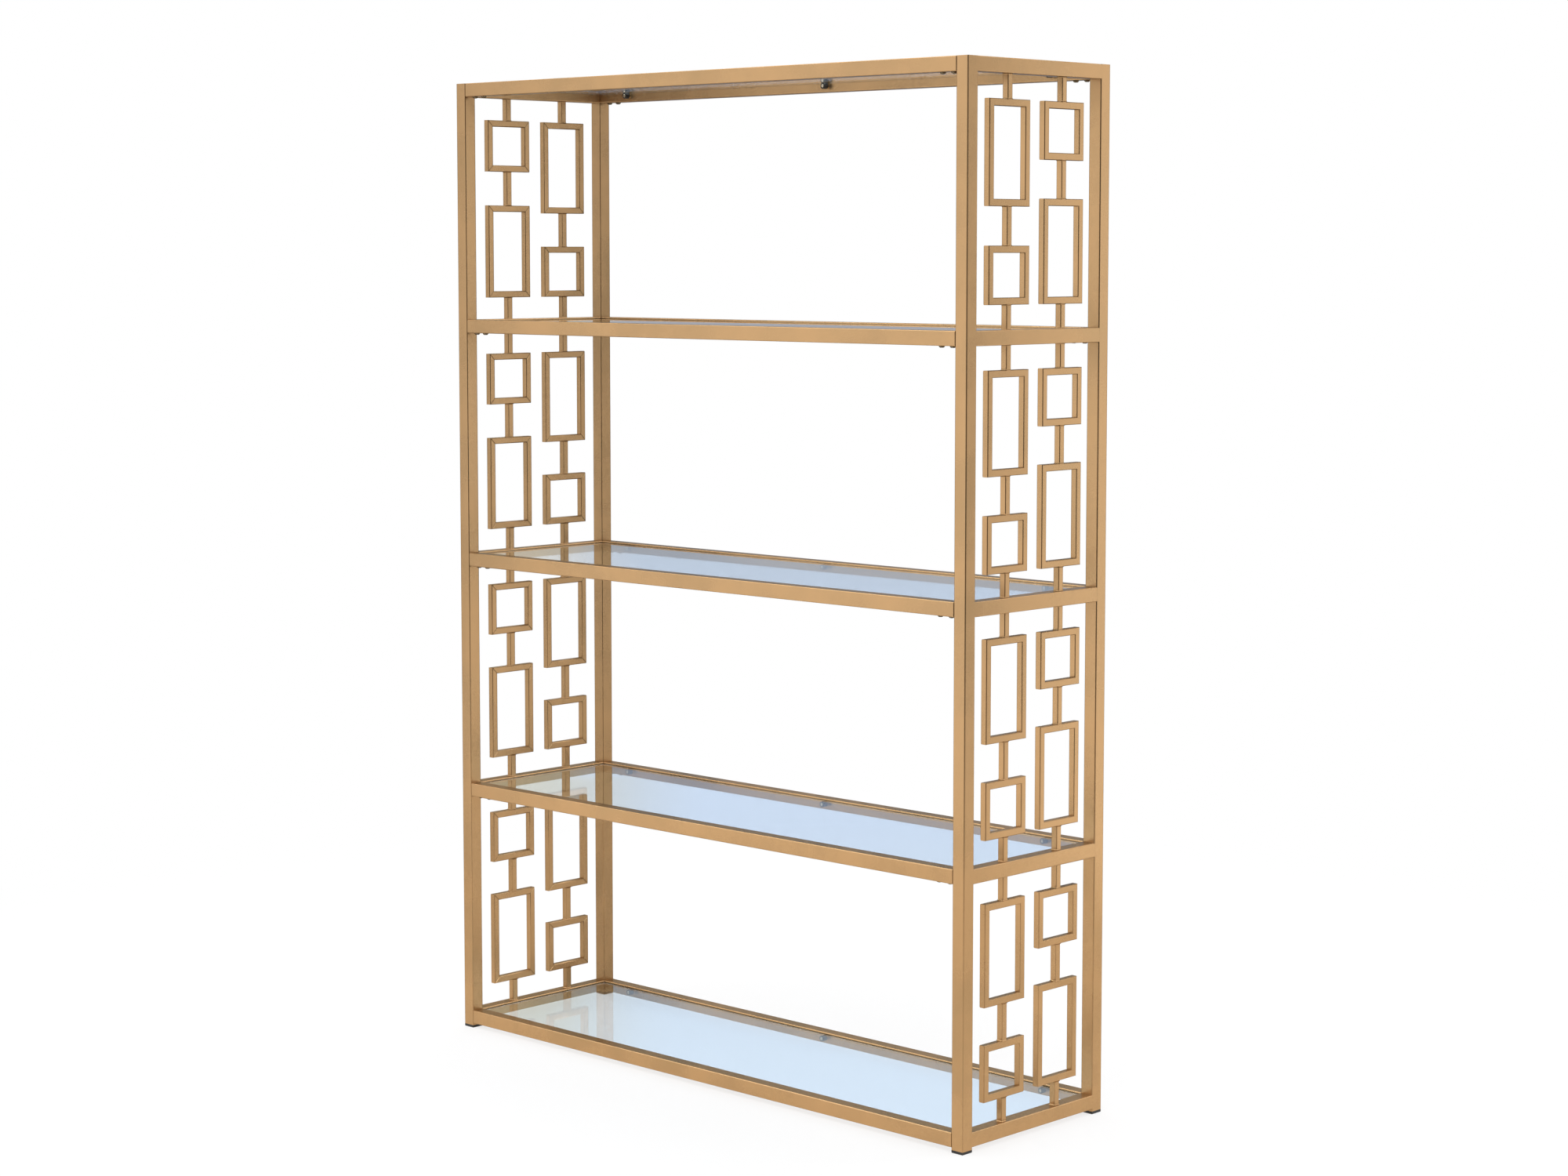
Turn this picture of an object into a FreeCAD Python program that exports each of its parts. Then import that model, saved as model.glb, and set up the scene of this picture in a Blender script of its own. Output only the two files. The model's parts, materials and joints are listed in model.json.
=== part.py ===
import FreeCAD, Part
import math
import os
from FreeCAD import Vector

# An etagere of five tiers: two welded end frames filled with ring fretwork, long rails screwed between them,
# and glass shelves that lie loose on pegs. Lengths are millimetres. X runs along the width, Y from front to
# back and Z up, and the origin is on the floor under the middle.

# Overall
width = 1265.0
depth = 370.0
tier_count = 5

# Square tube of the posts and rails
tube = 25.0
tube_wall = 1.2
tube_inside_corner = 0.5

# Square tube of the fretwork
bar = 12.0
bar_wall = 1.0
bar_inside_corner = 0.3
mitre_gap = 0.1

# Fretwork, whose stack of rings and stems sets the height of a bay
ring_width = 104.0
square_ring_height = 97.0
tall_ring_height = 175.0
end_stem_length = 41.0
middle_stem_length = 64.0

# Feet and post tops
glide_height = 5.0
glide_inset = 0.4
glide_chamfer = 1.0
glide_plug_length = 18.0
post_drop = 4.0
plug_clearance = 0.2
top_plate_thickness = 1.5

# Long rails on their connecting stubs
rail_end_gap = 0.4
stub_clearance = 0.3
stub_wall = 2.5
stub_inside_corner = 0.5
stub_margin = 11.0
screw_inset = 15.0
screw_spacing = 24.0

# Button-head screws
screw_diameter = 6.0
screw_length = 12.0
screw_head_diameter = 10.5
screw_head_height = 3.3
screw_head_edge = 0.8
screw_head_bulge = 0.3
socket_across_flats = 4.0
socket_depth = 2.0
socket_rim = 0.4
screw_hole_clearance = 0.3
thread_clearance = 0.1

# Shelf pegs and their sleeves
pegs_per_rail = 3
peg_end_distance = 81.5
peg_diameter = 6.0
peg_thread_length = 6.0
peg_flange_diameter = 11.0
peg_flange_thickness = 1.5
peg_pin_length = 11.0
peg_tip_chamfer = 0.8
peg_bare_tip = 1.5
peg_hole_clearance = 0.1
sleeve_wall = 2.2
sleeve_clearance = 0.1
sleeve_flat_depth = 0.3

# Glass
glass_thickness = 6.0
glass_recess = 3.0
glass_gap = 2.0
glass_corner = 4.0
glass_arris = 0.5

# Heights and half sizes that follow
bay_height = square_ring_height + tall_ring_height + 2 * end_stem_length + middle_stem_length
tier_pitch = bay_height + tube
first_tier = glide_height + post_drop
post_top = first_tier + (tier_count - 1) * tier_pitch + tube
post_x = (width - tube) / 2
post_y = (depth - tube) / 2
clear_width = width - 2 * tube
clear_depth = depth - 2 * tube
column_gap = (clear_depth - 2 * ring_width) / 3
column_y = (ring_width + column_gap) / 2
tube_bore = tube - 2 * tube_wall
glass_underside = tube - glass_recess - glass_thickness
sleeve_bore = peg_diameter + 2 * sleeve_clearance
sleeve_radius = sleeve_bore / 2 + sleeve_wall
sleeve_length = peg_pin_length - peg_bare_tip
peg_height = glass_underside - sleeve_radius + sleeve_flat_depth
stub_side = tube_bore - 2 * stub_clearance
stub_length = screw_inset + screw_spacing + stub_margin

right = Vector(1, 0, 0)
back = Vector(0, 1, 0)
up = Vector(0, 0, 1)

ends = {"left": -1, "right": 1}
faces = {"front": -1, "back": 1}


def tier_height(tier):
    """Underside of a tier's rails, with the lowest tier as tier 1."""
    return first_tier + (tier - 1) * tier_pitch


def rounded_rectangle(length, breadth, radius):
    """Face in the XY plane about the origin, with rounded corners."""
    corners = []
    for x_sign, y_sign, first in ((1, 1, 0), (-1, 1, 90), (-1, -1, 180), (1, -1, 270)):
        centre = Vector(x_sign * (length / 2 - radius), y_sign * (breadth / 2 - radius), 0)
        corners.append(Part.makeCircle(radius, centre, up, first, first + 90))
    edges = []
    for corner, following in zip(corners, corners[1:] + corners[:1]):
        edges.append(corner)
        edges.append(Part.makeLine(corner.Vertexes[-1].Point, following.Vertexes[0].Point))
    return Part.Face(Part.Wire(edges))


def square_tube(side, wall, inside_corner, length):
    """Square tube along Z about the origin, from the XY plane up."""
    bore = side - 2 * wall
    outside = rounded_rectangle(side, side, inside_corner + wall).extrude(up * length)
    inside = rounded_rectangle(bore, bore, inside_corner).extrude(up * length)
    return outside.cut(inside)


def along(shape, direction, start):
    """Copy of a shape that was made along Z, laid along another direction from a start point."""
    placed = shape.copy()
    placed.Placement = FreeCAD.Placement(start, FreeCAD.Rotation(up, direction))
    return placed


def moved(shape, offset):
    """Copy of a shape, moved by an offset."""
    placed = shape.copy()
    placed.translate(offset)
    return placed


def half_turn(shape):
    """Copy of a shape, turned half round the upright axis through the origin."""
    placed = shape.copy()
    placed.rotate(Vector(0, 0, 0), up, 180)
    return placed


def make_post():
    """Post tube on the Z axis, from the glide to the top of the highest rails."""
    return moved(square_tube(tube, tube_wall, tube_inside_corner, post_top - glide_height), up * glide_height)


def make_top_plate():
    """Plate that closes a post, let into its bore and flush with its top."""
    side = tube_bore - 2 * plug_clearance
    plate = rounded_rectangle(side, side, tube_inside_corner).extrude(up * top_plate_thickness)
    return moved(plate, up * (post_top - top_plate_thickness))


def make_glide():
    """Foot with a square plug that stands in the bore of the post."""
    foot_side = tube - 2 * glide_inset
    foot = Part.makeBox(foot_side, foot_side, glide_height, Vector(-foot_side / 2, -foot_side / 2, 0))
    lower_edges = [edge for edge in foot.Edges if edge.BoundBox.ZMax < glide_height / 2]
    foot = foot.makeChamfer(glide_chamfer, lower_edges)
    plug_side = tube_bore - 2 * plug_clearance
    plug = rounded_rectangle(plug_side, plug_side, tube_inside_corner).extrude(up * glide_plug_length)
    return foot.fuse(moved(plug, up * glide_height)).removeSplitter()


def make_end_rail():
    """End rail of the right-hand frame, welded between its two posts, standing on the XY plane."""
    rail = square_tube(tube, tube_wall, tube_inside_corner, clear_depth)
    return along(rail, back, Vector(post_x, -clear_depth / 2, tube / 2))


def mitred_bar(length, direction, outward, middle):
    """Ring bar along one side of a ring of the given length, cut at 45 degrees at both ends.

    The middle is that of the bar's outer face, and outward points away from the ring. Half of the gap that
    the weld fills is taken off each end.
    """
    blank = along(square_tube(bar, bar_wall, bar_inside_corner, length), direction,
                  middle - direction * (length / 2) - outward * (bar / 2))
    outer_half = direction * ((length - mitre_gap) / 2)
    inner_half = outer_half - direction * bar
    inner_middle = middle - outward * bar
    corners = [middle - outer_half, middle + outer_half, inner_middle + inner_half, inner_middle - inner_half]
    outline = Part.Face(Part.makePolygon(corners + corners[:1]))
    mitre = moved(outline.extrude(right * bar), right * (-bar / 2))
    return blank.common(mitre)


def make_ring(height, centre):
    """Four mitred bars that make an upright ring."""
    bars = []
    for sign in (-1, 1):
        bars.append(mitred_bar(ring_width, back, up * sign, centre + up * (sign * height / 2)))
        bars.append(mitred_bar(height, up, back * sign, centre + back * (sign * ring_width / 2)))
    return bars


def make_stem(length, foot):
    """Upright stem of the fretwork, from its foot upwards."""
    return moved(square_tube(bar, bar_wall, bar_inside_corner, length), foot)


def make_fret_column(y, lower_ring_height, upper_ring_height):
    """Bars and stems of one column, stacked from the rail below it, which is the XY plane here."""
    ring_bars = []
    stems = []
    foot = Vector(post_x, y, 0)
    stack = ((end_stem_length, lower_ring_height), (middle_stem_length, upper_ring_height))
    for stem_length, ring_height in stack:
        stems.append(make_stem(stem_length, foot))
        foot = foot + up * stem_length
        ring_bars += make_ring(ring_height, foot + up * (ring_height / 2))
        foot = foot + up * ring_height
    stems.append(make_stem(end_stem_length, foot))
    return ring_bars, stems


def make_fretwork():
    """Bars and stems of one bay of the right-hand frame, with the two columns opposite ways up."""
    front_bars, front_stems = make_fret_column(-column_y, square_ring_height, tall_ring_height)
    back_bars, back_stems = make_fret_column(column_y, tall_ring_height, square_ring_height)
    return Part.makeCompound(front_bars + back_bars), Part.makeCompound(front_stems + back_stems)


def screw_places(sign):
    """X places of the two screws at one end of a long rail: sign -1 is the left end, 1 the right."""
    distances = (screw_inset, screw_inset + screw_spacing)
    return [sign * (clear_width / 2 - distance) for distance in distances]


def peg_places():
    """X places of the pegs, evenly spaced between the two outer ones."""
    reach = clear_width / 2 - peg_end_distance
    step = 2 * reach / (pegs_per_rail - 1)
    return [index * step - reach for index in range(pegs_per_rail)]


def make_back_rail():
    """Back rail on the XY plane, drilled below for its screws and in front for the pegs."""
    length = clear_width - 2 * rail_end_gap
    rail = along(square_tube(tube, tube_wall, tube_inside_corner, length), right,
                 Vector(-length / 2, post_y, tube / 2))
    drills = []
    for x in screw_places(-1) + screw_places(1):
        radius = screw_diameter / 2 + screw_hole_clearance
        drills.append(Part.makeCylinder(radius, tube / 2, Vector(x, post_y, 0), up))
    for x in peg_places():
        radius = peg_diameter / 2 + peg_hole_clearance
        drills.append(Part.makeCylinder(radius, tube / 2, Vector(x, clear_depth / 2, peg_height), back))
    return rail.cut(Part.makeCompound(drills))


def make_stub():
    """Stub on the right-hand back post that the rail slides over, tapped for its two screws."""
    start = Vector(clear_width / 2, post_y, tube_wall + stub_side / 2)
    stub = along(square_tube(stub_side, stub_wall, stub_inside_corner, stub_length), -right, start)
    drills = []
    for x in screw_places(1):
        radius = screw_diameter / 2 + thread_clearance
        drills.append(Part.makeCylinder(radius, tube / 2, Vector(x, post_y, 0), up))
    return stub.cut(Part.makeCompound(drills))


def make_screw():
    """Button-head screw that points up, with the underside of its head at the origin."""
    socket_corner = socket_across_flats / math.sqrt(3)
    shoulder = screw_head_diameter / 2
    rim = Vector(shoulder, 0, -screw_head_edge)
    crown = Vector(socket_corner + socket_rim, 0, -screw_head_height)
    bulge = (rim + crown) * 0.5 + Vector(1, 0, -1) * screw_head_bulge
    shank = screw_diameter / 2
    edges = [
        Part.Arc(rim, bulge, crown).toShape(),
        Part.makePolygon([crown, Vector(0, 0, -screw_head_height), Vector(0, 0, screw_length),
                          Vector(shank, 0, screw_length), Vector(shank, 0, 0), Vector(shoulder, 0, 0), rim]),
    ]
    body = Part.Face(Part.Wire(edges)).revolve(Vector(0, 0, 0), up, 360)
    mouth = up * -screw_head_height
    angles = [math.radians(60 * side) for side in range(7)]
    corners = [mouth + Vector(math.cos(angle), math.sin(angle), 0) * socket_corner for angle in angles]
    socket = Part.Face(Part.makePolygon(corners)).extrude(up * socket_depth)
    return body.cut(socket)


def make_peg():
    """Shelf peg along -Y, with the back of its flange at the origin and its thread behind it."""
    radius = peg_diameter / 2
    end = peg_flange_thickness + peg_pin_length
    outline = Part.makePolygon([
        Vector(0, peg_thread_length, 0),
        Vector(radius, peg_thread_length, 0),
        Vector(radius, 0, 0),
        Vector(peg_flange_diameter / 2, 0, 0),
        Vector(peg_flange_diameter / 2, -peg_flange_thickness, 0),
        Vector(radius, -peg_flange_thickness, 0),
        Vector(radius, peg_tip_chamfer - end, 0),
        Vector(radius - peg_tip_chamfer, -end, 0),
        Vector(0, -end, 0),
        Vector(0, peg_thread_length, 0),
    ])
    return Part.Face(outline).revolve(Vector(0, 0, 0), back, 360)


def make_sleeve():
    """Rubber sleeve on a peg, flattened on top where the glass lies on it."""
    start = Vector(0, -peg_flange_thickness, 0)
    sleeve = Part.makeCylinder(sleeve_radius, sleeve_length, start, -back)
    bore = Part.makeCylinder(sleeve_bore / 2, sleeve_length, start, -back)
    flat = Part.makeBox(2 * sleeve_radius, sleeve_length, sleeve_flat_depth,
                        start + Vector(-sleeve_radius, -sleeve_length, sleeve_radius - sleeve_flat_depth))
    return sleeve.cut(bore).cut(flat)


def make_glass():
    """Glass panel standing on the XY plane, with rounded corners and ground edges."""
    length = clear_width - 2 * glass_gap
    breadth = clear_depth - 2 * glass_gap
    panel = rounded_rectangle(length, breadth, glass_corner).extrude(up * glass_thickness)
    rims = [edge for edge in panel.Edges if edge.BoundBox.ZLength < glass_arris]
    return panel.makeChamfer(glass_arris, rims)


def repeated(shape, places):
    """Compound of copies of a shape at a list of places."""
    return Part.makeCompound([moved(shape, place) for place in places])


def make_nodes():
    """All pieces of the etagere by name, each in its place."""
    nodes = {}
    tiers = range(1, tier_count + 1)
    bays = range(1, tier_count)

    heights = [up * tier_height(tier) for tier in tiers]

    post = make_post()
    glide = make_glide()
    corners = []
    for end, x_sign in ends.items():
        for face, y_sign in faces.items():
            corner = Vector(x_sign * post_x, y_sign * post_y, 0)
            nodes[f"{end}_{face}_post"] = moved(post, corner)
            nodes[f"{end}_{face}_glide"] = moved(glide, corner)
            corners.append(corner)
    nodes["post_top_plates"] = repeated(make_top_plate(), corners)

    end_rails = {"right": make_end_rail()}
    end_rails["left"] = half_turn(end_rails["right"])
    right_bars, right_stems = make_fretwork()
    ring_bars = {"right": right_bars, "left": half_turn(right_bars)}
    stems = {"right": right_stems, "left": half_turn(right_stems)}
    for end in ends:
        for tier in tiers:
            nodes[f"{end}_end_rail_{tier}"] = moved(end_rails[end], up * tier_height(tier))
        for bay in bays:
            floor = up * (tier_height(bay) + tube)
            nodes[f"{end}_fret_rings_{bay}"] = moved(ring_bars[end], floor)
            nodes[f"{end}_fret_stems_{bay}"] = moved(stems[end], floor)

    back_rail = make_back_rail()
    long_rails = {"back": back_rail, "front": half_turn(back_rail)}
    right_back_stub = make_stub()
    left_back_stub = right_back_stub.mirror(Vector(0, 0, 0), right)
    stubs = {"right_back": right_back_stub, "left_front": half_turn(right_back_stub),
             "left_back": left_back_stub, "right_front": half_turn(left_back_stub)}
    for face in faces:
        for tier in tiers:
            nodes[f"{face}_rail_{tier}"] = moved(long_rails[face], up * tier_height(tier))
    for corner, stub in stubs.items():
        nodes[f"{corner}_stubs"] = repeated(stub, heights)

    screw_rows = [Vector(x, post_y, 0) for x in screw_places(-1) + screw_places(1)]
    peg_rows = [Vector(x, clear_depth / 2, peg_height) for x in peg_places()]
    rows = {"rail_screws": (make_screw(), screw_rows), "shelf_pegs": (make_peg(), peg_rows),
            "peg_sleeves": (make_sleeve(), peg_rows)}
    for name, (shape, row) in rows.items():
        back_row = repeated(shape, [place + height for height in heights for place in row])
        nodes[name] = Part.makeCompound(back_row.Solids + half_turn(back_row).Solids)

    glass = make_glass()
    for tier in tiers:
        nodes[f"glass_shelf_{tier}"] = moved(glass, up * (tier_height(tier) + glass_underside))
    return nodes


os.makedirs("parts", exist_ok=True)
for name, shape in make_nodes().items():
    shape.exportStep(f"parts/{name}.step")
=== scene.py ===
import json
import math

import bpy
import numpy as np
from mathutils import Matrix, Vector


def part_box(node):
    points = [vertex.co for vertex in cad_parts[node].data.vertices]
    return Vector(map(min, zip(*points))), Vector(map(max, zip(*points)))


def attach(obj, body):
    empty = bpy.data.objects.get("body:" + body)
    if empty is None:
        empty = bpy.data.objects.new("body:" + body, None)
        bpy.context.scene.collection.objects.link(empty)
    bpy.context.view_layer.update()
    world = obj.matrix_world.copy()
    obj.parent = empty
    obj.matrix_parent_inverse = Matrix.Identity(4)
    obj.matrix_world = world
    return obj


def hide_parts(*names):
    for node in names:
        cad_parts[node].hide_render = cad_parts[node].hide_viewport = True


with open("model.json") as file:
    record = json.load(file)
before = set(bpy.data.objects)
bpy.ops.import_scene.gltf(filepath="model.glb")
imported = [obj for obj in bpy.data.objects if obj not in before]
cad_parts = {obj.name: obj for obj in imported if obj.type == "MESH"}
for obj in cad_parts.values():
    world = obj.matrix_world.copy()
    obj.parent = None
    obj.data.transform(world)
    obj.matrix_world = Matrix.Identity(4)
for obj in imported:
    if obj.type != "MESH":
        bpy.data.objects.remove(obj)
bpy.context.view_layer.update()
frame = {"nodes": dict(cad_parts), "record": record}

# Sizes in metres. X runs along the width, Y from front to back and Z up. A stock is the side, the corner
# radius and the wall of a square tube: the larger one of posts and rails, and the bar of the fretwork.
MM = 0.001
TUBE_CORNER = 1.7 * MM
TUBE_STOCK = (25 * MM, TUBE_CORNER, 1.2 * MM)
BAR = 12 * MM
BAR_CORNER = 1.3 * MM
BAR_STOCK = (BAR, BAR_CORNER, 1.0 * MM)
RING_WIDTH = 104 * MM
SQUARE_RING = 97 * MM
TALL_RING = 175 * MM
END_STEM = 41 * MM
MIDDLE_STEM = 64 * MM
GLASS_CORNER = 4 * MM
GLASS_ARRIS = 0.5 * MM

# Rims of the cut tubes, and seams of the mitres, which start at a share of the way from the bar's middle to
# its face
CUT_EASE = 0.3 * MM
GROUND_EASE = 0.1 * MM
RAIL_END_EASE = 0.7 * MM
SEAM_DEPTH = 0.8 * MM
SEAM_REACH = 1.2 * MM
SEAM_START = 0.6

# Weld beads. How far the back is sunk in the stem and below its foot, and how far it rises, are shares of
# the leg.
WELD_LEG = 1.6 * MM
WELD_SIDE_SINK = 0.3
WELD_FOOT_SINK = 0.2
WELD_BACK_RISE = 0.4

# Fineness of the rounded forms
SHADING_STRIP = 0.6 * MM
CORNER_STEPS = 6
RIM_STEPS = 3
WELD_STEPS = 4
SHARP_ANGLE = math.radians(40)

# Painted shade along the rounded edges, and how dark the paint is on welds, where 1 is a seam
EDGE_SHADE = 0.7
EDGE_SHADE_RISE = 1.3
WELD_TONE = 0.25

ENDS = ("left", "right")
FACES = ("front", "back")
TIERS = range(1, 6)
BAYS = range(1, 5)

X, Y, Z = range(3)
AXES = np.eye(3)
QUARTERS = np.arange(4)[:, None] * (math.pi / 2)

# The fretwork is laid out for the right end, whose inner side faces -X, and turned half round for the left.
INNER_SIDE = -1.0
END_TURNS = {"left": np.array([-1.0, -1.0, 1.0]), "right": np.ones(3)}


def quarter_turn(steps):
    """Angles of a quarter circle in even steps."""
    return np.linspace(0, math.pi / 2, steps + 1)


def grid_quads(rows, columns, round_rows, round_columns):
    """Quads of a grid whose points are numbered row by row.

    Each joins a point, the next one in its row and the two above them. A direction that runs round joins its
    last line of points to its first."""
    row = np.arange(rows if round_rows else rows - 1)[:, None]
    column = np.arange(columns if round_columns else columns - 1)[None, :]
    above = (row + 1) % rows
    beside = (column + 1) % columns
    corners = [row * columns + column, row * columns + beside,
               above * columns + beside, above * columns + column]
    return np.stack(corners, axis=-1).reshape(-1, 4)


def make_piece(name, surfaces, material, tones=None, capped=False):
    """Object from one or more surfaces.

    A surface is an array of copies by rows by columns by XYZ, with a flag for rows and one for columns that
    run round. Tones holds, per surface, how dark the paint is at each point. A capped piece is one grid whose
    first and last rows are each closed by a flat face."""
    points, quads, count = [], [], 0
    for places, round_rows, round_columns in surfaces:
        copies, rows, columns, _ = places.shape
        first = count + np.arange(copies)[:, None, None] * rows * columns
        quads.append((first + grid_quads(rows, columns, round_rows, round_columns)).reshape(-1, 4))
        points.append(places.reshape(-1, 3))
        count += copies * rows * columns
    faces = np.concatenate(quads).tolist()
    if capped:
        faces += [list(range(columns))[::-1], list(range(count - columns, count))]
    mesh = bpy.data.meshes.new(name)
    mesh.from_pydata(np.concatenate(points), [], faces)
    mesh.polygons.foreach_set("use_smooth", np.ones(len(mesh.polygons), dtype=bool))
    mesh.set_sharp_from_angle(angle=SHARP_ANGLE)
    if tones is not None:
        layer = mesh.attributes.new("dark_tone", "FLOAT", "POINT")
        layer.data.foreach_set("value", np.concatenate([tone.ravel() for tone in tones]).astype(np.float32))
    mesh.materials.append(material)
    piece = bpy.data.objects.new(name, mesh)
    bpy.context.scene.collection.objects.link(piece)
    return piece


def tube_outline(side, corner):
    """Outline of a square tube, counter-clockwise, as a centre and a direction per point.

    A point is its centre plus the corner radius times its direction. Each corner is a quarter circle, with
    one more point a strip's width along the flat at each side, so that the shading turns only at the corner."""
    turn = quarter_turn(CORNER_STEPS)
    turn = np.concatenate([turn[:1], turn, turn[-1:]])
    along_flat = np.zeros((len(turn), 2))
    along_flat[0, 1] = -SHADING_STRIP
    along_flat[-1, 0] = -SHADING_STRIP
    direction = np.stack([np.cos(turn + QUARTERS), np.sin(turn + QUARTERS)], axis=-1)
    centre = along_flat + (side / 2 - corner)
    cosine, sine = np.cos(QUARTERS), np.sin(QUARTERS)
    centre = np.stack([centre[:, 0] * cosine - centre[:, 1] * sine,
                       centre[:, 0] * sine + centre[:, 1] * cosine], axis=-1)
    return centre.reshape(-1, 2), direction.reshape(-1, 2)


def tube_section(stock, depth):
    """Outline of a tube at each depth below its outer face, as an array of depths by points by two."""
    side, corner, _ = stock
    centre, direction = tube_outline(side, corner)
    return centre + (corner - np.asarray(depth))[:, None, None] * direction


def wall_path(length, wall, ease):
    """Way round the cut wall of a tube, as distances along it and depths below its outer face.

    It runs along the outside between two rounded rims, across one end, back along the bore and across the
    other end."""
    turn = quarter_turn(RIM_STEPS)
    rim_along = ease * (1 - np.cos(turn))
    rim_depth = ease * (1 - np.sin(turn))
    inner = ease + SHADING_STRIP
    along = np.concatenate([rim_along, [inner, length - inner], length - rim_along[::-1], [length, 0.0]])
    depth = np.concatenate([rim_depth, [0.0, 0.0], rim_depth[::-1], [wall, wall]])
    return along, depth


def tube_grid(stock, start, axis, length, ease, start_reach=0.0, end_reach=0.0):
    """Hollow square tube along an axis as one closed grid: the way round its wall by its outline.

    The outline lies in the plane of the other two axes. A reach, one for all or one per outline point,
    carries an end further, in proportion along the tube."""
    along, depth = wall_path(length, stock[-1], ease)
    section = tube_section(stock, depth)
    share = (along / length)[:, None]
    travel = along[:, None] + share * end_reach - (1 - share) * start_reach
    direction, across, up = np.roll(AXES, -axis, axis=0)
    grid = start + travel[..., None] * direction + section[..., :1] * across + section[..., 1:] * up
    return grid[None]


def painted_edge_tones(path_points):
    """Painted shade along a tube's outer edges, as an array of path points by outline points.

    It is nothing on the flats, rises over the first third of each rounded corner and falls over the last."""
    rise = np.minimum(1.0, EDGE_SHADE_RISE * np.sin(2 * quarter_turn(CORNER_STEPS)))
    corner = np.concatenate([[0.0], rise, [0.0]])
    return EDGE_SHADE * np.tile(corner, (path_points, len(QUARTERS)))


def box_middle(node):
    """Lowest corner, highest corner and middle of a CAD node."""
    low, high = (np.array(corner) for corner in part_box(node))
    return low, high, (low + high) / 2


def put(tree, kind, inputs=None, **settings):
    """Node of a kind in a tree. Inputs are values, or output sockets to link from."""
    node = tree.nodes.new(kind)
    for key, value in settings.items():
        setattr(node, key, value)
    for key, value in (inputs or {}).items():
        if isinstance(value, bpy.types.NodeSocket):
            tree.links.new(value, node.inputs[key])
        else:
            node.inputs[key].default_value = value
    return node


def maths(tree, operation, *values):
    """Result of a Math node on values or sockets."""
    return put(tree, "ShaderNodeMath", dict(enumerate(values)), operation=operation).outputs[0]


def even_share(tree, value, start, end, least=0.0, most=1.0, interpolation="LINEAR"):
    """Share that goes evenly from the least, for a value at the start, to the most, for one at the end."""
    inputs = {"Value": value, "From Min": start, "From Max": end, "To Min": least, "To Max": most}
    return put(tree, "ShaderNodeMapRange", inputs, interpolation_type=interpolation).outputs[0]


def smooth_share(tree, value, start, end, least=0.0, most=1.0):
    """Share like an even one that sets out and comes in slowly."""
    return even_share(tree, value, start, end, least, most, "SMOOTHSTEP")


def mixed_colour(tree, factor, first, second):
    """Colour between two colours, by the colour sockets of a Mix node."""
    return put(tree, "ShaderNodeMix", {0: factor, 6: first, 7: second}, data_type="RGBA").outputs[2]


def distance_along(tree, place, direction):
    """How far a place lies in a direction."""
    inputs = {0: place, 1: direction}
    return put(tree, "ShaderNodeVectorMath", inputs, operation="DOT_PRODUCT").outputs["Value"]


def empty_tree(block):
    """Node tree of a material or world, without nodes."""
    block.use_nodes = True
    block.node_tree.nodes.clear()
    return block.node_tree


# Middle part of the noise that patches and grain use, and their shares in the tone
NOISE_RANGE = (0.3, 0.7)
PATCH_SHARE = 0.75
GRAIN_SHARE = 0.25
GRAIN_HEIGHT = 0.1 * MM

# Paint in seams and in painted edge shade, and the heights over which that shade grows from its least share
SEAM_AND_SHADE_PAINT = (0.07, 0.035, 0.012, 1)
EDGE_SHADE_HEIGHTS = (0.25, 1.0)
LEAST_EDGE_SHADE = 0.3

# Glass where it is clear and wiped, and on its ground edges, whose dark green is partly painted shade of the
# gap
CLEAR_TINT = (0.88, 0.965, 1.0, 1)
GROUND_TINT_AND_SHADE = (0.16, 0.22, 0.21, 1)
WIPED_ROUGHNESS = 0.03
GROUND_ROUGHNESS = 0.35


def make_patch_and_grain():
    """Shared finish of the solid materials: soft patches that mix two tones, over a fine grain.

    The patches also shift the roughness between its two ends, and the grain gives the height."""
    group = bpy.data.node_groups.new("patch_and_grain", "ShaderNodeTree")
    for name, kind in (("Light Tone", "NodeSocketColor"), ("Dark Tone", "NodeSocketColor"),
                       ("Patch Scale", "NodeSocketFloat"), ("Grain Scale", "NodeSocketFloat"),
                       ("Least Roughness", "NodeSocketFloat"), ("Most Roughness", "NodeSocketFloat")):
        group.interface.new_socket(name, in_out="INPUT", socket_type=kind)
    for name, kind in (("Colour", "NodeSocketColor"), ("Roughness", "NodeSocketFloat"),
                       ("Height", "NodeSocketFloat")):
        group.interface.new_socket(name, in_out="OUTPUT", socket_type=kind)
    given = put(group, "NodeGroupInput").outputs
    place = put(group, "ShaderNodeTexCoord").outputs["Object"]
    patch = put(group, "ShaderNodeTexNoise", {"Vector": place, "Scale": given["Patch Scale"], "Detail": 3.0})
    grain = put(group, "ShaderNodeTexNoise", {"Vector": place, "Scale": given["Grain Scale"], "Detail": 2.0})
    level = even_share(group, patch.outputs["Fac"], *NOISE_RANGE)
    speck = even_share(group, grain.outputs["Fac"], *NOISE_RANGE)
    fine = maths(group, "MULTIPLY", speck, GRAIN_SHARE)
    share = maths(group, "MULTIPLY_ADD", level, PATCH_SHARE, fine)
    tone = mixed_colour(group, share, given["Dark Tone"], given["Light Tone"])
    rough = even_share(group, share, 0.0, 1.0, given["Least Roughness"], given["Most Roughness"])
    put(group, "NodeGroupOutput", {"Colour": tone, "Roughness": rough, "Height": grain.outputs["Fac"]})
    return group


def start_material(name):
    """Node material with its output and a Principled shader."""
    material = bpy.data.materials.new(name)
    tree = empty_tree(material)
    shader = put(tree, "ShaderNodeBsdfPrincipled")
    put(tree, "ShaderNodeOutputMaterial", {"Surface": shader.outputs["BSDF"]})
    return material, tree, shader


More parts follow.
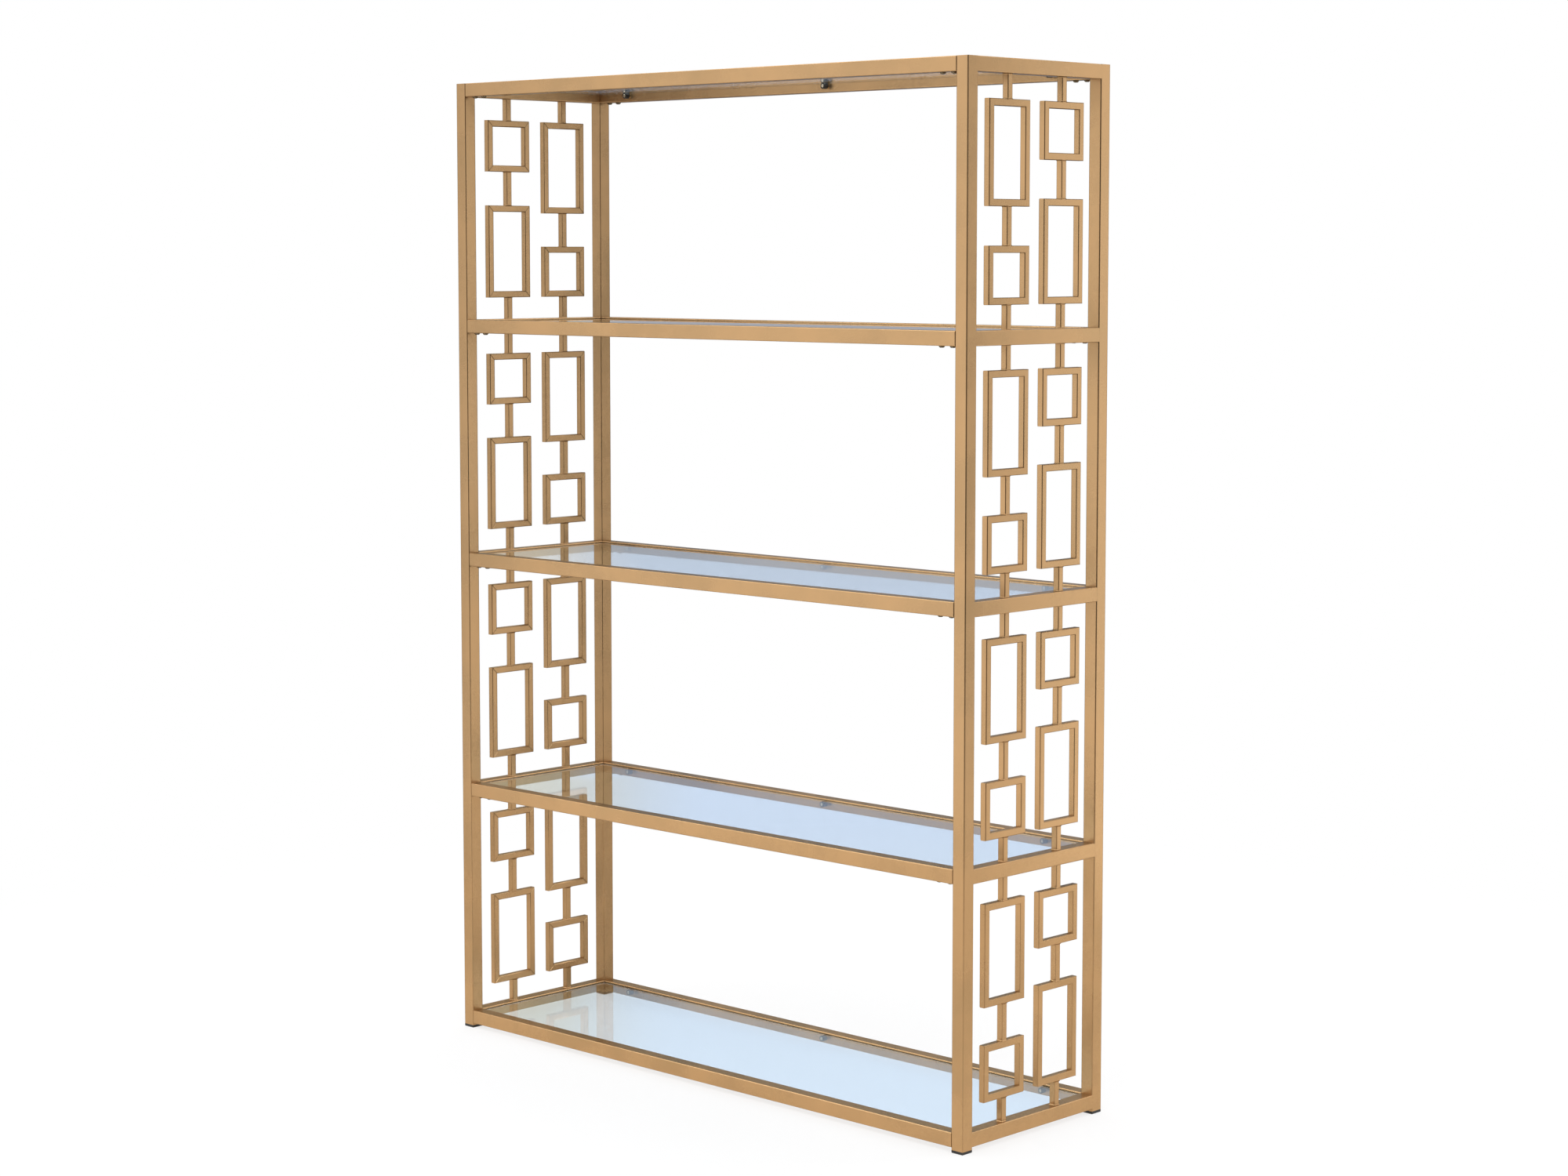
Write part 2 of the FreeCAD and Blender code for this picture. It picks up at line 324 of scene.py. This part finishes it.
def with_painted_edge_shade(tree, colour):
    """Colour dark in seams, and by the pieces' dark tone on welds and as painted shade on edges, less near the
    foot.
    """
    dark = put(tree, "ShaderNodeAttribute", attribute_name="dark_tone").outputs["Fac"]
    place = put(tree, "ShaderNodeTexCoord").outputs["Object"]
    height = put(tree, "ShaderNodeSeparateXYZ", {0: place}).outputs["Z"]
    # Painted shade by height: edges and welds are painted darker higher up, and lightest near the foot
    edge = maths(tree, "MULTIPLY", dark, smooth_share(tree, height, *EDGE_SHADE_HEIGHTS, LEAST_EDGE_SHADE))
    seam = even_share(tree, dark, EDGE_SHADE, 1.0)
    return mixed_colour(tree, maths(tree, "MAXIMUM", edge, seam), colour, SEAM_AND_SHADE_PAINT)


def grained_material(name, light, dark, patch_scale, grain_scale, roughness, bump, painted_edge_shade=False,
                     **sockets):
    """Material with the shared patches and grain. Sockets are further constant values of the shader."""
    material, tree, shader = start_material(name)
    finish = put(tree, "ShaderNodeGroup", node_tree=PATCH_AND_GRAIN)
    values = {"Light Tone": (*light, 1), "Dark Tone": (*dark, 1), "Patch Scale": patch_scale,
              "Grain Scale": grain_scale, "Least Roughness": roughness[0], "Most Roughness": roughness[1]}
    for key, value in values.items():
        finish.inputs[key].default_value = value
    relief = put(tree, "ShaderNodeBump", {"Height": finish.outputs["Height"], "Strength": bump,
                                          "Distance": GRAIN_HEIGHT})
    colour = finish.outputs["Colour"]
    if painted_edge_shade:
        colour = with_painted_edge_shade(tree, colour)
    tree.links.new(finish.outputs["Roughness"], shader.inputs["Roughness"])
    tree.links.new(relief.outputs["Normal"], shader.inputs["Normal"])
    tree.links.new(colour, shader.inputs["Base Color"])
    for key, value in sockets.items():
        shader.inputs[key.replace("_", " ")].default_value = value
    return material


def make_shelf_glass():
    """Clear float glass with a pale blue cast, the faintest wiping marks and greenish, matt ground edges."""
    material, tree, shader = start_material("clear_shelf_glass")
    place = put(tree, "ShaderNodeTexCoord").outputs["Object"]
    wipe = put(tree, "ShaderNodeTexNoise", {"Vector": place, "Scale": 6.0, "Detail": 4.0})
    haze = even_share(tree, wipe.outputs["Fac"], 0.0, 1.0, 0.0, WIPED_ROUGHNESS)
    ground = put(tree, "ShaderNodeAttribute", attribute_name="dark_tone").outputs["Fac"]
    rough = put(tree, "ShaderNodeMix", {0: ground, 2: haze, 3: GROUND_ROUGHNESS}, data_type="FLOAT")
    # The ground edges are tinted green and dark: partly the glass's own edge colour, partly painted shade of
    # the gap to the rails
    tint = mixed_colour(tree, ground, CLEAR_TINT, GROUND_TINT_AND_SHADE)
    tree.links.new(rough.outputs[0], shader.inputs["Roughness"])
    tree.links.new(tint, shader.inputs["Base Color"])
    shader.inputs["Transmission Weight"].default_value = 1.0
    shader.inputs["IOR"].default_value = 1.5
    return material


PATCH_AND_GRAIN = make_patch_and_grain()
GOLD_PAINT = grained_material(
    "satin_gold_paint", light=(0.665, 0.405, 0.195), dark=(0.51, 0.325, 0.16), patch_scale=9.0,
    grain_scale=2000.0, roughness=(0.24, 0.31), bump=0.05, painted_edge_shade=True, Metallic=0.85,
    Specular_Tint=(0.35, 0.38, 0.40, 1), Coat_Weight=0.05, Coat_Roughness=0.3)
SHELF_GLASS = make_shelf_glass()
BRIGHT_NICKEL = grained_material(
    "bright_nickel", light=(0.70, 0.62, 0.49), dark=(0.56, 0.48, 0.36), patch_scale=60.0, grain_scale=900.0,
    roughness=(0.14, 0.22), bump=0.05, Metallic=1.0)
SCREW_NICKEL = grained_material(
    "screw_nickel", light=(0.22, 0.175, 0.12), dark=(0.13, 0.10, 0.065), patch_scale=90.0, grain_scale=1500.0,
    roughness=(0.12, 0.22), bump=0.08, Metallic=1.0)
SLEEVE_RUBBER = grained_material(
    "sleeve_rubber", light=(0.030, 0.024, 0.018), dark=(0.013, 0.010, 0.008), patch_scale=80.0,
    grain_scale=1800.0, roughness=(0.5, 0.65), bump=0.15)
GLIDE_PLASTIC = grained_material(
    "moulded_black_plastic", light=(0.03, 0.03, 0.031), dark=(0.014, 0.014, 0.015), patch_scale=50.0,
    grain_scale=1600.0, roughness=(0.38, 0.52), bump=0.2)
SLOT_FINISHES = {"frame_paint": GOLD_PAINT, "clear_glass": SHELF_GLASS, "peg_chrome": BRIGHT_NICKEL,
                 "screw_steel": SCREW_NICKEL, "sleeve_rubber": SLEEVE_RUBBER, "glide_black": GLIDE_PLASTIC}


def stand_for(piece, node, body="frame"):
    """The piece rides on a body in the place of one of its CAD nodes."""
    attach(piece, body)
    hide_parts(node)


def make_tube(name, node, axis, ease, overlap=0.0, painted_edge_shade=False):
    """Post or rail as a hollow tube along an axis, with rims that are rounded by the ease.

    An overlap carries both ends into the rounded corners of what they are welded to, so that the ground weld
    is flush outside."""
    low, high, start = box_middle(node)
    start[axis] = low[axis] - overlap
    grid = tube_grid(TUBE_STOCK, start, axis, high[axis] - low[axis] + 2 * overlap, ease)
    # Posts carry painted shade along their rounded edges
    tones = [painted_edge_tones(grid.shape[1])] if painted_edge_shade else None
    stand_for(make_piece(name, [(grid, True, True)], GOLD_PAINT, tones), node)


def ring_outline(height):
    """Outward direction, direction of the run, distance from the middle and half length of a ring's bars.

    The four bars are in the order that the ring is run round: top, front, bottom and back. Directions are in
    the YZ plane, and lengths are those of the bars' middle lines."""
    outward = np.array([[0, 1], [-1, 0], [0, -1], [1, 0]], dtype=float)
    run = np.array([[-1, 0], [0, -1], [1, 0], [0, 1]], dtype=float)
    half_across = np.array([height, RING_WIDTH, height, RING_WIDTH]) / 2 - BAR / 2
    half_along = np.array([RING_WIDTH, height, RING_WIDTH, height]) / 2 - BAR / 2
    return outward, run, half_across, half_along


def ring_grid(height):
    """Ring of four mitred bars as one closed grid about its middle, and the dark tone of each point.

    A bar's section is carried along the bar, and at a mitre it slants by its own distance outwards. On the
    inner side the mitre is left as a sunk seam, and on the outer side it is flush."""
    outward, run, half_across, half_along = ring_outline(height)
    thick, out = tube_section(BAR_STOCK, [0.0])[0].T
    mitre = half_along[:, None] + out
    along = np.stack([-mitre, SEAM_REACH - mitre, mitre - SEAM_REACH], axis=1)
    inside = np.clip((INNER_SIDE * thick / (BAR / 2) - SEAM_START) / (1 - SEAM_START), 0, 1)
    seam = np.broadcast_to(np.stack([inside, 0 * inside, 0 * inside]), along.shape)
    # The sunk seams are dark, and the rounded edges carry painted shade
    tone = np.maximum(seam, painted_edge_tones(1))
    x = thick - INNER_SIDE * SEAM_DEPTH * seam
    across = np.broadcast_to(half_across[:, None, None] + out, along.shape)
    plane = along[..., None] * run[:, None, None, :] + across[..., None] * outward[:, None, None, :]
    grid = np.concatenate([x[..., None], plane], axis=-1)
    return grid.reshape(1, -1, len(thick), 3), tone.reshape(-1)


def weld_grid(foot, up):
    """Weld bead round the foot of a stem as one closed grid, carried round the stem's outline.

    It is a hollow curve from the stem's side to the rail or ring that the stem meets, and its back is sunk in
    both. Up is 1, or -1 where the stem hangs."""
    turn = quarter_turn(WELD_STEPS)
    rise = np.concatenate([1 - np.sin(turn), [-WELD_FOOT_SINK, WELD_BACK_RISE]]) * WELD_LEG
    reach = np.concatenate([1 - np.cos(turn), [-WELD_SIDE_SINK, -WELD_SIDE_SINK]]) * WELD_LEG
    section = tube_section(BAR_STOCK, -reach)
    height = np.broadcast_to(up * rise[:, None], section.shape[:2])
    grid = foot + np.concatenate([section, height[..., None]], axis=-1)
    return (grid if up > 0 else grid[::-1])[None]


def make_fretwork(end, bay):
    """Rings and stems of one bay of an end, placed from the CAD nodes, in two columns.

    A column is stem, ring, stem, ring and stem. A stem is carried into the rounded edges of its rings on the
    outer side, where the joint is ground flush."""
    low, high, middle = box_middle(f"{end}_fret_stems_{bay}")
    column = (high[Y] - low[Y] - BAR) / 2
    base = np.array([abs(middle[X]), 0.0, low[Z]])
    outline = tube_section(BAR_STOCK, [0.0])[0]
    outer_share = np.clip(0.5 - INNER_SIDE * outline[:, 0] / BAR, 0, 1)
    flush = np.sqrt(outer_share) * BAR_CORNER
    stems = ((END_STEM, 0.0, flush), (MIDDLE_STEM, flush, flush), (END_STEM, flush, 0.0))
    grids = {"rings": [], "stems": []}
    tones = {"rings": [], "stems": []}
    for side, rings in ((-1, (SQUARE_RING, TALL_RING)), (1, (TALL_RING, SQUARE_RING))):
        foot = base + side * column * AXES[Y]
        for (length, start_reach, end_reach), ring in zip(stems, (*rings, None)):
            head = foot + length * AXES[Z]
            stem = tube_grid(BAR_STOCK, foot, Z, length, GROUND_EASE, start_reach, end_reach)
            beads = [weld_grid(foot, 1), weld_grid(head, -1)]
            grids["stems"] += [stem, *beads]
            # Painted shade along the stem's edges, and darker paint on the weld beads
            tones["stems"].append(painted_edge_tones(stem.shape[1]))
            tones["stems"] += [np.full(bead.shape[1:3], WELD_TONE) for bead in beads]
            if ring:
                grid, tone = ring_grid(ring)
                grids["rings"].append(grid + head + ring / 2 * AXES[Z])
                tones["rings"].append(tone)
                foot = head + ring * AXES[Z]
    for kind in grids:
        surfaces = [(grid * END_TURNS[end], True, True) for grid in grids[kind]]
        piece = make_piece(f"{end}_{kind}_bay_{bay}", surfaces, GOLD_PAINT, tones[kind])
        stand_for(piece, f"{end}_fret_{kind}_{bay}")


def make_glass_shelf(tier):
    """Glass panel as a closed slab: an edge profile carried round a rectangle with rounded corners.

    The profile runs from the underside over a rounded arris, up the ground edge and over the other arris."""
    node = f"glass_shelf_{tier}"
    low, high, middle = box_middle(node)
    turn = quarter_turn(CORNER_STEPS)
    turns = (turn + QUARTERS).ravel()
    direction = np.stack([np.cos(turns), np.sin(turns)], axis=-1)
    half = (high - low)[:2] / 2 - GLASS_CORNER
    side = np.repeat([[1, 1], [-1, 1], [-1, -1], [1, -1]], len(turn), axis=0)
    arris = quarter_turn(RIM_STEPS)
    rim = GLASS_ARRIS * (1 - np.sin(arris))
    rise = GLASS_ARRIS * (1 - np.cos(arris))
    inner = GLASS_ARRIS + SHADING_STRIP
    inset = np.concatenate([[inner], rim, rim[::-1], [inner]])
    height = np.concatenate([[low[Z]], low[Z] + rise, high[Z] - rise[::-1], [high[Z]]])
    plane = middle[:2] + half * side + (GLASS_CORNER - inset)[:, None, None] * direction
    grid = np.concatenate([plane, np.broadcast_to(height[:, None, None], (*plane.shape[:2], 1))], axis=-1)
    # Share of the ground edge, which the glass tints dark green, partly as painted shade
    ground = np.concatenate([[0.0], np.sin(arris), np.sin(arris)[::-1], [0.0]])
    tones = [np.repeat(ground, len(turns))]
    piece = make_piece(f"glass_panel_{tier}", [(grid[None], False, True)], SHELF_GLASS, tones, capped=True)
    stand_for(piece, node, node)


def finish_cad_nodes():
    """Every CAD node gets the finish of its slot, for those that keep their own shape."""
    for part in frame["record"]["subparts"]:
        mesh = frame["nodes"][part["node"]].data
        mesh.materials.clear()
        mesh.materials.append(SLOT_FINISHES[part["material_slot"]])


# Level directions: to the camera, to its right, and to the floor behind the object
TO_CAMERA = (0.697, -0.717, 0.0)
TO_RIGHT = (0.717, 0.697, 0.0)
TO_FLOOR_BEHIND = (-0.68, 0.733, 0.0)

# Whites of the floor and the backdrop, where they are seen straight through the glass or in the gloss
WHITE = (1, 1, 1, 1)
FLOOR_THROUGH_GLASS = (1.08, 1.17, 1.34, 1)
BACKDROP_THROUGH_GLASS = (1.27, 1.38, 1.62, 1)
LEFT_TINT_THROUGH_GLASS = (0.96, 0.88, 0.74, 1)
FLOOR_IN_GLOSS = (0.87, 0.80, 0.71, 1)
FLOOR_BEHIND_IN_GLOSS = (0.36, 0.33, 0.29, 1)

# Floor. Pairs are the distances between which something comes in.
FLOOR_RADIUS = 3.2
FLOOR_FIRST_RING = 0.3
FLOOR_RINGS = 16
FLOOR_SPOKES = 96
FLOOR_MATT = (0.9, 0.9, 0.9, 1)
PLAIN_WHITE_FROM = (0.9, 2.4)
LEAST_PLAIN_WHITE = 0.78
BACKDROP_WHITE_FROM = (1.2, FLOOR_RADIUS)
DIM_BEHIND_FROM = (0.34, 0.48)
LEFT_TINT_ENDS = (-0.45, -0.15)

# Studio walls from the back at 0 to the camera at 1, and the back wall from the horizon up to its top at 1.
# Heights and distances aside are parts of a direction of length 1, and pairs are those between which
# something comes in.
WALL_STOPS = ((0.0, (0.36, 0.37, 0.40)), (0.50, (0.36, 0.36, 0.36)), (0.72, (0.54, 0.54, 0.54)),
              (0.87, (0.72, 0.72, 0.72)), (0.95, (0.14, 0.14, 0.15)), (1.0, (0.10, 0.10, 0.11)))
BACK_STOPS = ((0.0, (0.42, 0.41, 0.44)), (0.33, (0.41, 0.47, 0.56)), (0.60, (0.32, 0.38, 0.49)),
              (0.85, (0.49, 0.56, 0.64)), (1.0, (0.50, 0.57, 0.65)))
BACK_TOP = 0.3
BACK_FROM = (-0.4, -0.8)
WARM_LOW = (0.62, 0.56, 0.46, 1)
WARM_HIGH = (0.42, 0.37, 0.26, 1)
WARM_HIGH_FROM = (0.10, 0.16)
WARM_ENDS = (-0.075, -0.035)
PALE_FOOT = (0.50, 0.49, 0.47, 1)
PALE_FOOT_BELOW = (-0.10, -0.17)
PALE_FOOT_RIGHT_OF = (0.4, 0.8)
COVE = (3.0, 3.0, 3.0, 1)
COVE_FROM = (0.58, 0.66)
CEILING_FROM = (0.74, 0.86)

# Lamps and camera: places in metres, angles in degrees, sensor and lens in millimetres
SOFTBOX_TARGET = (0.0, 0.0, 1.2)
SOFTBOX_HEIGHT = 4.0
CAMERA_PLACE = (3.9249, -4.0447, 1.4900)
CAMERA_DIP = 5.046
CAMERA_TURN = 43.805
CAMERA_SENSOR = 36.0
CAMERA_LENS = 71.789
CAMERA_SHIFT = -0.038


def mirrored_share(tree, light_path):
    """1 for rays that were mirrored on their way, and 0 for the others."""
    return maths(tree, "MINIMUM", light_path["Glossy Depth"], 1.0)


def through_glass_share(tree, light_path):
    """1 for rays that only passed through the glass on their way, and 0 for the others."""
    straight = maths(tree, "SUBTRACT", 1.0, mirrored_share(tree, light_path))
    return maths(tree, "MULTIPLY", light_path["Is Transmission Ray"], straight)


def make_floor():
    """White floor as a disc of rings by spokes.

    It shows its soft shadows near the object, and turns to the plain white of the background further out. In
    the gloss it is warmer, and dim behind the object. Through the glass it runs to the white of the backdrop,
    with a warm tint at the left."""
    radius = np.concatenate([[0.0], np.geomspace(FLOOR_FIRST_RING, FLOOR_RADIUS, FLOOR_RINGS)])
    angle = np.linspace(0, 2 * math.pi, FLOOR_SPOKES, endpoint=False)
    grid = np.stack([radius[:, None] * np.cos(angle), radius[:, None] * np.sin(angle),
                     np.zeros((len(radius), len(angle)))], axis=-1)
    material = bpy.data.materials.new("white_floor")
    tree = empty_tree(material)
    place = put(tree, "ShaderNodeTexCoord").outputs["Object"]
    distance = put(tree, "ShaderNodeVectorMath", {0: place}, operation="LENGTH").outputs["Value"]
    light_path = put(tree, "ShaderNodeLightPath").outputs

    behind = smooth_share(tree, distance_along(tree, place, TO_FLOOR_BEHIND), *DIM_BEHIND_FROM)
    gloss = mixed_colour(tree, behind, FLOOR_IN_GLOSS, FLOOR_BEHIND_IN_GLOSS)
    white = mixed_colour(tree, mirrored_share(tree, light_path), WHITE, gloss)
    to_edge = smooth_share(tree, distance, *BACKDROP_WHITE_FROM)
    beyond = mixed_colour(tree, to_edge, FLOOR_THROUGH_GLASS, BACKDROP_THROUGH_GLASS)
    right = smooth_share(tree, distance_along(tree, place, TO_RIGHT), *LEFT_TINT_ENDS)
    tint = mixed_colour(tree, right, LEFT_TINT_THROUGH_GLASS, WHITE)
    beyond = put(tree, "ShaderNodeVectorMath", {0: beyond, 1: tint}, operation="MULTIPLY").outputs[0]
    white = mixed_colour(tree, through_glass_share(tree, light_path), white, beyond)

    seen = maths(tree, "MAXIMUM", light_path["Is Camera Ray"], light_path["Is Glossy Ray"])
    seen = maths(tree, "MAXIMUM", seen, light_path["Is Transmission Ray"])
    plain = maths(tree, "MULTIPLY", seen, smooth_share(tree, distance, *PLAIN_WHITE_FROM, LEAST_PLAIN_WHITE))
    matt = put(tree, "ShaderNodeBsdfDiffuse", {"Color": FLOOR_MATT}).outputs[0]
    glow = put(tree, "ShaderNodeEmission", {"Color": white, "Strength": 1.0}).outputs[0]
    mixed = put(tree, "ShaderNodeMixShader", {0: plain, 1: matt, 2: glow}).outputs[0]
    put(tree, "ShaderNodeOutputMaterial", {"Surface": mixed})
    floor = make_piece("floor", [(grid[None], False, True)], material)


def ramp_of(tree, place, stops):
    """Colour that runs through stops, each a place and a colour, from the first at 0 to the last at 1."""
    node = put(tree, "ShaderNodeValToRGB", {"Fac": place})
    elements = node.color_ramp.elements
    elements[0].color = (*stops[0][1], 1)
    elements[1].color = (*stops[-1][1], 1)
    for position, colour in stops[1:-1]:
        elements.new(position).color = (*colour, 1)
    return node.outputs["Color"]


def make_world():
    """White studio: the white that the camera sees, and walls that light the object and show in its gloss.

    They are grey at the back and the sides, paler further round and dark where the camera stands, and paler
    below the horizon on the right. A bright cove runs round the white ceiling. The back wall is grey at the
    foot and bluish further up, and warm beyond its left edge, where it is paler low down."""
    world = bpy.data.worlds.new("studio")
    bpy.context.scene.world = world
    tree = empty_tree(world)
    way = put(tree, "ShaderNodeTexCoord").outputs["Generated"]
    forward = distance_along(tree, way, TO_CAMERA)
    aside = distance_along(tree, way, TO_RIGHT)
    height = put(tree, "ShaderNodeSeparateXYZ", {0: way}).outputs["Z"]

    walls = ramp_of(tree, even_share(tree, forward, -1.0, 1.0), WALL_STOPS)
    back = ramp_of(tree, even_share(tree, height, 0.0, BACK_TOP), BACK_STOPS)
    warm = mixed_colour(tree, smooth_share(tree, height, *WARM_HIGH_FROM), WARM_LOW, WARM_HIGH)
    back = mixed_colour(tree, smooth_share(tree, aside, *WARM_ENDS), warm, back)
    walls = mixed_colour(tree, smooth_share(tree, forward, *BACK_FROM), walls, back)
    low = smooth_share(tree, height, *PALE_FOOT_BELOW)
    low_right = maths(tree, "MULTIPLY", low, smooth_share(tree, aside, *PALE_FOOT_RIGHT_OF))
    walls = mixed_colour(tree, low_right, walls, PALE_FOOT)
    cove = mixed_colour(tree, smooth_share(tree, height, *CEILING_FROM), COVE, WHITE)
    studio = mixed_colour(tree, smooth_share(tree, height, *COVE_FROM), walls, cove)

    light_path = put(tree, "ShaderNodeLightPath").outputs
    colour = mixed_colour(tree, through_glass_share(tree, light_path), studio, BACKDROP_THROUGH_GLASS)
    colour = mixed_colour(tree, light_path["Is Camera Ray"], colour, WHITE)
    sky = put(tree, "ShaderNodeBackground", {"Color": colour, "Strength": 1.0})
    put(tree, "ShaderNodeOutputWorld", {"Surface": sky.outputs[0]})


def make_softbox(name, place, width, power):
    """Soft upright lamp that faces the object and isn't seen by the camera."""
    lamp = bpy.data.lights.new(name, "AREA")
    lamp.shape = "RECTANGLE"
    lamp.size, lamp.size_y = width, SOFTBOX_HEIGHT
    lamp.energy = power
    holder = bpy.data.objects.new(name, lamp)
    bpy.context.scene.collection.objects.link(holder)
    look = np.array(SOFTBOX_TARGET) - np.array(place)
    across = math.hypot(look[X], look[Y])
    holder.location = place
    holder.rotation_euler = (math.atan2(across, -look[Z]), 0.0, math.atan2(-look[X], look[Y]))
    holder.visible_camera = False


def make_camera():
    """Camera at the photograph's viewing angle."""
    lens = bpy.data.cameras.new("camera")
    lens.sensor_width = CAMERA_SENSOR
    lens.lens = CAMERA_LENS
    lens.shift_y = CAMERA_SHIFT
    camera = bpy.data.objects.new("camera", lens)
    bpy.context.scene.collection.objects.link(camera)
    camera.location = CAMERA_PLACE
    camera.rotation_euler = (math.radians(90 - CAMERA_DIP), 0.0, math.radians(CAMERA_TURN))
    bpy.context.scene.camera = camera


for end in ENDS:
    for face in FACES:
        make_tube(f"{end}_{face}_upright", f"{end}_{face}_post", Z, CUT_EASE, painted_edge_shade=True)
    for tier in TIERS:
        make_tube(f"{end}_cross_rail_{tier}", f"{end}_end_rail_{tier}", Y, GROUND_EASE, overlap=TUBE_CORNER)
    for bay in BAYS:
        make_fretwork(end, bay)
for tier in TIERS:
    for face in FACES:
        make_tube(f"{face}_long_rail_{tier}", f"{face}_rail_{tier}", X, RAIL_END_EASE)
    make_glass_shelf(tier)
finish_cad_nodes()

make_floor()
make_world()
make_softbox("left_softbox", place=(-1.45, -2.06, 1.2), width=1.9, power=16.5)
make_softbox("right_softbox", place=(1.792, 1.671, 1.2), width=0.5, power=6.7)
make_camera()
bpy.context.scene.view_settings.view_transform = "Standard"
